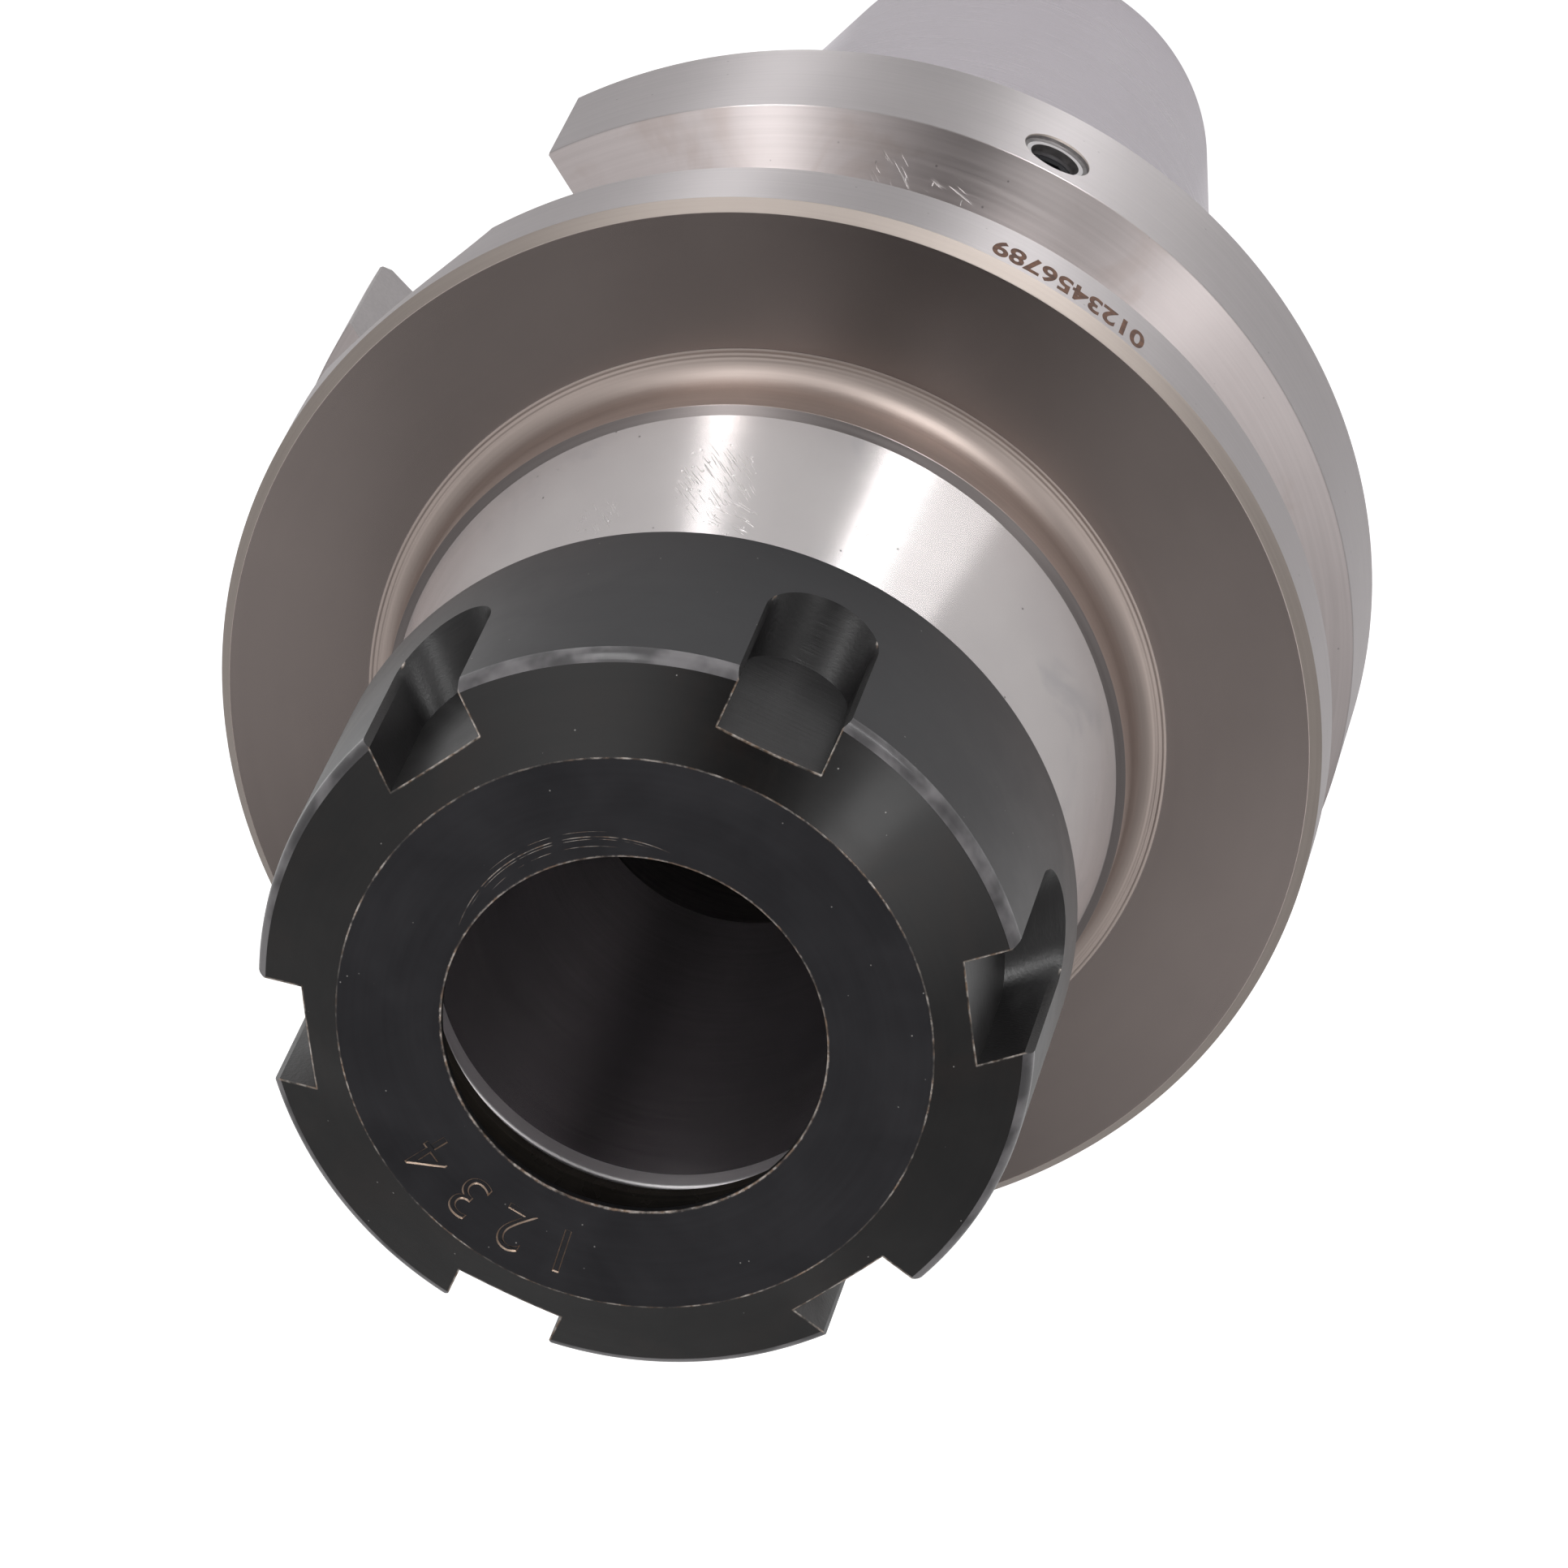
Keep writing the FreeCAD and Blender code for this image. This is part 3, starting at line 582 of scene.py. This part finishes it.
def arc_scratches(graph, radius, angle, place):
    """Long fine scratches that swing round the nut's mouth."""
    swing = graph.math("ADD", angle, math.radians(20.0))
    bow = graph.times(graph.times(swing, swing), 2.1)
    broken = graph.span(graph.noise(place, 0.9, 2.0), 0.42, 0.55)
    total = None
    scratches = ((11.75, 0.62, 0.035), (11.60, 0.5, 0.02), (11.2, 0.35, 0.02), (12.05, 0.3, 0.015))
    for start, reach, width in scratches:
        path = graph.math("SUBTRACT", start, bow)
        away = graph.math("ABSOLUTE", graph.math("SUBTRACT", radius, path))
        line = graph.times(graph.span(away, 0.3 * width, width, 1.0, 0.0),
                          graph.span(graph.math("ABSOLUTE", swing), reach * 0.7, reach, 1.0, 0.0))
        total = line if total is None else graph.math("MAXIMUM", total, line)
    return graph.times(total, broken)


def black_oxide(name, low, high, roughness, spread, lines=0.0, bump=0.1, brown=0.0,
                circles=(), slots=False, arcs=False, dust=0.0, grey_rub_and_highlight=0.0):
    """Blackened steel: a thin dark oxide with a faint sheen, brown smudges, worn edges, fine scratches and a
    grey rub that is partly wear and partly a painted highlight.
    """
    material, graph, shader = new_material(name)
    place, radius, height, angle = cylinder_coordinates(graph)
    if lines:
        rings = graph.combine(graph.times(radius, lines), graph.times(height, lines),
                              graph.times(angle, 1.2))
        fine = graph.noise(rings, 1.0, 3.0, 0.6)
    else:
        fine = graph.noise(place, 6.0, 3.0, 0.6)
    cloud = graph.noise(place, 0.2, 4.0, 0.6, 0.4)
    colour = graph.ramp(graph.math("MULTIPLY_ADD", fine, 0.4, graph.times(cloud, 0.6)),
                        [(0.35, low), (0.65, high)])
    if brown:
        patch = graph.span(graph.noise(place, 0.13, 5.0, 0.65, 0.8), 0.48, 0.7, 0.0, brown, smooth=True)
        colour = graph.mix(patch, colour, (0.011, 0.0075, 0.0065))
    # Grey rub: partly real wear, partly a painted highlight on the rounded edge.
    if grey_rub_and_highlight:
        rub_and_highlight = graph.span(graph.noise(place, 0.35, 3.0, 0.5), 0.35, 0.6, 0.25 * grey_rub_and_highlight, grey_rub_and_highlight, smooth=True)
        colour = graph.mix(rub_and_highlight, colour, (0.24, 0.23, 0.238))
    rough = graph.span(cloud, 0.35, 0.65, roughness - spread, roughness + spread)
    relief = graph.times(fine, bump)
    worn = worn_edges(graph, place, radius, height, angle, circles, slots)
    if arcs:
        scratched = graph.times(arc_scratches(graph, radius, angle, place), 0.7)
        worn = graph.math("MAXIMUM", worn, scratched)
    if worn is not None:
        tone = graph.ramp(graph.noise(place, 2.5, 2.0),
                          [(0.4, (0.36, 0.25, 0.18)), (0.6, (0.75, 0.68, 0.62))])
        colour = graph.mix(worn, colour, tone)
        graph.link(graph.times(worn, 0.6), shader.inputs["Metallic"])
        relief = graph.math("SUBTRACT", relief, graph.times(worn, 0.6))
    if dust:
        dots = graph.node("ShaderNodeTexVoronoi")
        graph.link(place, dots.inputs["Vector"])
        dots.inputs["Scale"].default_value = 1.1
        spots = graph.span(dots.outputs["Distance"], 0.03, 0.06, dust, 0.0)
        pick = graph.math("GREATER_THAN", graph.noise(place, 0.7, 2.0), 0.55)
        colour = graph.mix(graph.times(spots, pick), colour, (0.6, 0.58, 0.56))
    graph.link(colour, shader.inputs["Base Color"])
    graph.link(rough, shader.inputs["Roughness"])
    shader.inputs["Specular IOR Level"].default_value = 0.5
    graph.link(graph.bump(relief), shader.inputs["Normal"])
    return material


NUT_FACE, NUT_FRONT, NUT_RIM, NUT_SLOT, NUT_MOUTH, NUT_LIP, NUT_EDGE, ENGRAVED = range(8)
mouth_ring = (MOUTH_RADIUS, NUT_LEVEL, 0.13, 0.75)
face_rings = ((FACE_RADIUS, NUT_LEVEL, 0.06, 0.15), mouth_ring)
nut_materials = [
    black_oxide("nut_face_oxide", (0.0135, 0.0130, 0.0158), (0.0205, 0.0198, 0.0235), 0.36, 0.03, 3.0, 0.05,
                circles=face_rings, arcs=True, dust=0.5),
    black_oxide("nut_front_oxide", (0.0042, 0.0040, 0.0042), (0.0085, 0.0076, 0.0074), 0.19, 0.04, 4.0, 0.06,
                0.8, face_rings, True, dust=0.5),
    black_oxide("nut_rim_oxide", (0.010, 0.0105, 0.013), (0.015, 0.0155, 0.018), 0.36, 0.03, 4.0, 0.06,
                dust=0.4),
    # Slot oxide: its low tone is partly painted shade in the slots; the broken bright lines along the slot
    # edges are real wear.
    black_oxide("nut_slot_oxide_painted_shade", (0.009, 0.0088, 0.0092), (0.017, 0.016, 0.0165), 0.36, 0.05, 5.0, 0.9,
                slots=True),
    # Mouth oxide: darker than the face's, painted shade inside the nut's bore and recesses; the worn ring at
    # the mouth's edge is real wear.
    black_oxide("nut_mouth_oxide_painted_shade", (0.006, 0.006, 0.007), (0.010, 0.010, 0.011), 0.4, 0.05, 4.0, 0.1,
                circles=(mouth_ring,)),
    # Lip oxide: lighter and browner than the rest of the nut, a painted highlight line on the lip inside the
    # mouth; its darker brown smudges are real.
    black_oxide("nut_lip_oxide_painted_highlight", (0.02, 0.018, 0.016), (0.05, 0.042, 0.034), 0.3, 0.05, 4.0, 0.1, 0.5),
    # Edge oxide: a strong grey rub on the nut's rounded front edge, partly wear and partly a painted
    # highlight band.
    black_oxide("nut_edge_oxide_rub_and_highlight", (0.018, 0.018, 0.020), (0.040, 0.038, 0.040), 0.22, 0.04, 4.0, 0.1,
                slots=True, grey_rub_and_highlight=0.8),
    steel("engraved_steel", (0.36, 0.26, 0.19), (0.60, 0.48, 0.40), 0.4, 0.05, 0.0, 4.0, 0.1),
]
nut_outline = [
    (16.305, 113.4, 0.05, NUT_RIM), (20.0, 113.4, 0.15, NUT_RIM), (NUT_RADIUS, 114.4, 0.15, NUT_RIM),
    (NUT_RADIUS, 130.571, 1.05, NUT_FRONT, NUT_EDGE), (FACE_RADIUS, NUT_LEVEL, 0.05, NUT_FACE),
    (MOUTH_RADIUS, NUT_LEVEL, 0.05, NUT_MOUTH), (MOUTH_RADIUS, 132.9, 0.05, NUT_MOUTH),
    (12.75, 128.83, 0.05, NUT_LIP), (11.45, 128.83, 0.0, NUT_LIP),
    (11.45, 128.03, 0.0, NUT_MOUTH), (13.3, 128.03, 0.1, NUT_MOUTH), (13.3, 126.6, 0.1, NUT_MOUTH),
    (15.555, 126.6, 0.05, NUT_MOUTH), (15.555, 114.15, 0.05, NUT_RIM),
]
nut = lathe("nut_turned", rounded(nut_outline))


def wrench_slot_cutter():
    """A slot with a flat floor, an end wall that leans back, and a small bevel along the round rim."""
    floor_arc = NUT_LEVEL - 12.4 + SLOT_HALF
    rim_arc = NUT_LEVEL - 14.6 + SLOT_HALF
    stations = ((0.0, None, floor_arc), (0.0, -0.45, rim_arc), (0.3, 0.05, rim_arc), (0.3, 3.0, rim_arc))
    loops = []
    for grow, depth, arc in stations:
        loop = []
        for y, z in slot_outline(SLOT_HALF + grow, arc, 134.6, True):
            surface = math.sqrt(NUT_RADIUS ** 2 - y ** 2)
            x = SLOT_FLOOR if depth is None else surface + depth
            loop.append((x, y, z))
        loops.append(loop)
    return loft("slot_cutter", loops, NUT_SLOT)


def lip_cutter():
    """The round recess behind the nut's mouth, off centre."""
    loops = []
    for z in (127.9, 128.85):
        turns = [math.tau * k / LIP_SEGMENTS for k in range(LIP_SEGMENTS)]
        loops.append([(LIP_OFFSET + LIP_RADIUS * math.cos(turn), LIP_RADIUS * math.sin(turn), z)
                      for turn in turns])
    return loft("lip_cutter", loops, NUT_LIP)


cutters = [turned(wrench_slot_cutter(), SLOT_TURN + 360 // SLOT_COUNT * k) for k in range(SLOT_COUNT)]
cutters.append(turned(lip_cutter(), LIP_TURN))


def flat_figure(text, size, bolder=0.0):
    """A plain figure as one flat sheet of triangles in millimetres, centred on the origin."""
    curve = bpy.data.curves.new("figure", "FONT")
    curve.body = text
    curve.size = size
    curve.offset = bolder
    curve.fill_mode = "FRONT"
    curve.resolution_u = 6
    curve.align_x = "CENTER"
    curve.align_y = "CENTER"
    item = bpy.data.objects.new("figure", curve)
    scene.collection.objects.link(item)
    bpy.context.view_layer.update()
    mesh = bpy.data.meshes.new_from_object(item.evaluated_get(bpy.context.evaluated_depsgraph_get()))
    bpy.data.objects.remove(item)
    bm = bmesh.new()
    bm.from_mesh(mesh)
    bmesh.ops.remove_doubles(bm, verts=bm.verts, dist=FIGURE_WELD)
    bmesh.ops.triangulate(bm, faces=bm.faces)
    for edge in list(bm.edges):
        while len(edge.link_faces) > 2:
            bm.faces.remove(min(edge.link_faces, key=lambda face: face.calc_area()))
    for face in bm.faces:
        if face.normal.z < 0:
            face.normal_flip()
    return bm


def figure_solid(text, size, layers, bolder=0.0):
    """A closed solid of a figure through (lift, inset) layers from top to bottom, with its walls ENGRAVED."""
    flat = flat_figure(text, size, bolder)
    inward = {}
    for vertex in flat.verts:
        push = Vector((0, 0, 0))
        for edge in vertex.link_edges:
            if len(edge.link_faces) == 1:
                along = (edge.other_vert(vertex).co - vertex.co).normalized()
                side = Vector((-along.y, along.x, 0))
                middle = edge.link_faces[0].calc_center_median() - vertex.co
                push += side if side.dot(middle) > 0 else -side
        inward[vertex.index] = push.normalized() if push.length > 0.01 else push * 0
    bm = bmesh.new()
    levels = []
    for lift, inset in layers:
        raised = Vector((0, 0, lift))
        levels.append([bm.verts.new(v.co + inward[v.index] * inset + raised) for v in flat.verts])
    for face in flat.faces:
        spots = [v.index for v in face.verts]
        bm.faces.new([levels[0][k] for k in spots]).material_index = ENGRAVED
        bm.faces.new([levels[-1][k] for k in reversed(spots)]).material_index = NUT_FACE
    for edge in flat.edges:
        if len(edge.link_faces) == 1:
            a, b = edge.verts[0].index, edge.verts[1].index
            for high, low in zip(levels, levels[1:]):
                bm.faces.new((high[a], high[b], low[b], low[a])).material_index = ENGRAVED
    bmesh.ops.delete(bm, geom=[v for v in bm.verts if not v.link_faces], context="VERTS")
    bmesh.ops.recalc_face_normals(bm, faces=bm.faces)
    flat.free()
    return bm


# Plain index figures cut into the nut's face, with sloped bright walls
for figure, around in (("1", 119.5), ("2", 107.5), ("3", 95.0), ("4", 82.5)):
    layers = ((0.3, 0), (0.0, 0), (-0.08, 0.08))
    tool = to_object("figure_cutter", figure_solid(figure, FIGURE_SIZE, layers))
    place = Matrix.Translation((0, FIGURE_RADIUS, NUT_LEVEL + 0.004))
    tool.data.transform(Matrix.Rotation(math.radians(around - 90), 4, "Z") @ place)
    cutters.append(tool)
cut(nut, cutters, nut_materials)
finished(nut, nut_materials, "nut", ["clamping_nut"])

# Grub screws in the coolant drillings


def grub_screw(name, radius, length, seat_at, direction, node):
    """A socket grub screw with a chamfered end, thread ridges and a deep hexagon."""
    outline = [(0.02, 0.0, 0, 0), (radius - 0.25, 0.0, 0, 0), (radius, 0.25, 0, 0)]
    z = 0.3
    while z < length - 0.55:
        outline += [(radius, z, 0, 0), (radius - 0.14, z + 0.12, 0, 0), (radius, z + 0.24, 0, 0)]
        z += 0.36
    outline += [(radius, length - 0.22, 0.03, 2), (radius - 0.22, length, 0.04, 0), (0.02, length, 0, 0)]
    screw = lathe(name, rounded(outline), SCREW_SEGMENTS)
    corner = 1.0 / math.cos(math.radians(30))
    turns = [math.radians(60 * k + 30) for k in range(6)]
    stations = ((corner * 0.98, length - 1.5), (corner * 0.98, length - 0.12), (corner + 0.2, length + 0.1))
    hexagons = []
    for size, z in stations:
        hexagons.append([(size * math.cos(turn), size * math.sin(turn), z) for turn in turns])
    cut(screw, [loft("socket_cutter", hexagons, 1)], grub_materials)
    turn = Vector((0, 0, 1)).rotation_difference(Vector(direction)).to_matrix().to_4x4()
    screw.data.transform(Matrix.Translation(seat_at) @ turn)
    finished(screw, grub_materials, "holder", [node])


grub_materials = [
    black_oxide("grub_screw_oxide", (0.02, 0.02, 0.023), (0.04, 0.04, 0.045), 0.22, 0.05),
    # Socket oxide: darker than the screw's own, painted shade in the hex socket.
    black_oxide("grub_socket_oxide_painted_shade", (0.006, 0.006, 0.008), (0.012, 0.012, 0.015), 0.2, 0.05),
    steel("grub_edge_steel", (0.70, 0.71, 0.74), (0.80, 0.81, 0.84), 0.5, 0.03, 0.0, 4.0, 0.05),
]
for side in range(2):
    turn = math.radians(PORT_ANGLE + 180 * side)
    out = Vector((math.cos(turn), math.sin(turn), 0))
    base = out * 27.5 + Vector((0, 0, RIM_LEVEL))
    grub_screw("rim_screw_%d" % (side + 1), 1.6, 3.0, base, out, "rim_grub_screw_%d" % (side + 1))
    base = out * FACE_PORT_RADIUS + Vector((0, 0, FACE_SCREW_LEVEL))
    grub_screw("face_screw_%d" % (side + 1), 1.45, 3.2, base, (0, 0, -1), "face_grub_screw_%d" % (side + 1))

# Plain figures burnt into the flange's rim
bm = figure_solid("0123456789", RIM_FIGURE_SIZE, ((0.008, 0), (-0.04, 0)), 0.075)
for face in bm.faces:
    face.material_index = 0
for vertex in bm.verts:
    across, up, lift = vertex.co
    around = math.radians(RIM_FIGURE_TURN) + across * RIM_FIGURE_SPACING / RIM_RADIUS
    away = RIM_RADIUS + lift
    vertex.co = (away * math.cos(around), away * math.sin(around), RIM_FIGURE_LEVEL + up)
burnt, graph, shader = new_material("burnt_mark")
place = cylinder_coordinates(graph)[0]
tone = graph.noise(place, 3.0, 3.0)
colour = graph.ramp(tone, [(0.35, (0.075, 0.032, 0.02)), (0.65, (0.19, 0.095, 0.06))])
graph.link(colour, shader.inputs["Base Color"])
graph.link(graph.span(tone, 0.3, 0.7, 0.45, 0.65), shader.inputs["Roughness"])
finished(to_object("rim_figures", bm), [burnt], "holder")

# Floor


def floor_material():
    """White where the camera sees it, with the object's shadow, and graded where metal mirrors it."""
    material = bpy.data.materials.new("pale_floor")
    material.use_nodes = True
    graph = Graph(material.node_tree)
    output = graph.node("ShaderNodeOutputMaterial")
    diffuse = graph.node("ShaderNodeBsdfDiffuse")
    place, radius, _, angle = cylinder_coordinates(graph)
    grain = graph.noise(place, 0.06, 3.0)
    colour = graph.ramp(grain, [(0.3, (0.49, 0.49, 0.49)), (0.7, (0.52, 0.52, 0.52))])
    graph.link(colour, diffuse.inputs["Color"])
    path = graph.node("ShaderNodeLightPath")
    seen = graph.math("MAXIMUM", path.outputs["Is Camera Ray"], path.outputs["Is Transmission Ray"])
    around = graph.math("ADD", angle, math.radians(-VIEW_ANGLE))
    aside = graph.math("ARCCOSINE", graph.math("COSINE", around))
    sides = graph.times(graph.span(aside, 1.2, 1.7, 0.0, 1.0), graph.span(aside, 2.1, 2.6, 1.0, 0.0),
                        graph.span(graph.math("SINE", around), -0.3, 0.3, 0.6, 1.0),
                        graph.span(radius, 90.0, 160.0, 1.0, 0.0))
    glow = graph.node("ShaderNodeEmission")
    mirrored = graph.times(path.outputs["Is Glossy Ray"], graph.math("MULTIPLY_ADD", sides, 0.55, 0.2))
    graph.link(graph.math("MULTIPLY_ADD", seen, 0.85, mirrored), glow.inputs["Strength"])
    add = graph.node("ShaderNodeAddShader")
    graph.link(diffuse.outputs[0], add.inputs[0])
    graph.link(glow.outputs[0], add.inputs[1])
    graph.link(add.outputs[0], output.inputs[0])
    return material


bpy.ops.mesh.primitive_grid_add(x_subdivisions=4, y_subdivisions=4, size=12.0)
floor = bpy.context.object
floor.name = "floor"
floor.data.materials.append(floor_material())

# Light


def strip_lamp(name, azimuth, elevation, width, height, power):
    """A white strip that faces the axis at the height of the flange's front."""
    lamp = bpy.data.lights.new(name, "AREA")
    lamp.shape = "RECTANGLE"
    lamp.size = width
    lamp.size_y = height
    lamp.energy = power
    item = bpy.data.objects.new(name, lamp)
    scene.collection.objects.link(item)
    a, e = math.radians(azimuth), math.radians(elevation)
    way = Vector((math.cos(e) * math.cos(a), math.cos(e) * math.sin(a), math.sin(e)))
    item.location = way * LAMP_DISTANCE + Vector((0, 0, LAMP_HEIGHT))
    item.rotation_euler = way.to_track_quat("Z", "Y").to_euler()


strip_lamp("key_strip", -71.0, 10.0, 0.15, 0.36, 1.5)
strip_lamp("low_strip", -85.0, -1.8, 0.28, 0.11, 0.42)
strip_lamp("high_strip", -104.0, 50.0, 0.12, 0.30, 0.14)
strip_lamp("right_strip", -28.0, 16.0, 0.10, 0.50, 1.15)
strip_lamp("left_strip", -204.0, 4.0, 0.30, 0.24, 0.09)
strip_lamp("back_strip", 72.0, 4.0, 0.30, 0.24, 0.11)

# Studio: bright to both sides and dark over the middle, and white where the camera sees it
world = bpy.data.worlds.new("studio")
scene.world = world
world.use_nodes = True
graph = Graph(world.node_tree)
output = graph.node("ShaderNodeOutputWorld")
path = graph.node("ShaderNodeLightPath")
texture = graph.node("ShaderNodeTexCoord")
parts = graph.node("ShaderNodeSeparateXYZ")
graph.link(texture.outputs["Generated"], parts.inputs[0])
x, y, z = parts.outputs
side_angle = math.radians(25.5)
side = graph.math("ADD", graph.times(x, math.cos(side_angle)), graph.times(y, math.sin(side_angle)))
across = graph.math("ABSOLUTE", side)
high = graph.span(z, 0.1, 0.82, 0.0, 1.0, smooth=True)
lift = graph.span(z, 0.6, 0.88, -0.4, 0.5)
dim = graph.times(graph.span(across, 0.03, 0.45, 0.01, 1.08, smooth=True),
                  graph.span(across, 0.5, 0.95, 1.0, 0.45, smooth=True),
                  graph.math("MULTIPLY_ADD", graph.span(side, -0.4, 0.0, 1.0, 0.0), lift, 1.0))
low = graph.math("SUBTRACT", 1.0, high)
studio = graph.math("ADD", graph.times(high, dim), graph.times(low, 0.36))
clear = graph.math("MAXIMUM", path.outputs["Is Camera Ray"], path.outputs["Is Transmission Ray"])
back = graph.node("ShaderNodeBackground")
back.inputs["Color"].default_value = (1.0, 0.99, 0.99, 1)
graph.link(studio, back.inputs["Strength"])
white = graph.node("ShaderNodeBackground")
mixer = graph.node("ShaderNodeMixShader")
graph.link(clear, mixer.inputs[0])
graph.link(back.outputs[0], mixer.inputs[1])
graph.link(white.outputs[0], mixer.inputs[2])
graph.link(mixer.outputs[0], output.inputs[0])

# Camera at the photograph's angle
lens = bpy.data.cameras.new("camera")
lens.sensor_width = 36.0
lens.lens = 247.46
lens.clip_start = 0.02
lens.clip_end = 30.0
camera = bpy.data.objects.new("camera", lens)
scene.collection.objects.link(camera)
right = (-0.680198, -0.7134, -0.1685)
up = (0.707089, -0.577948, -0.407433)
behind = (0.193278, -0.396279, 0.897556)
turn = Matrix((right, up, behind)).transposed().to_4x4()
camera.matrix_world = Matrix.Translation((0.1143368, -0.2395916, 0.63895)) @ turn
scene.camera = camera
scene.view_settings.view_transform = "Standard"
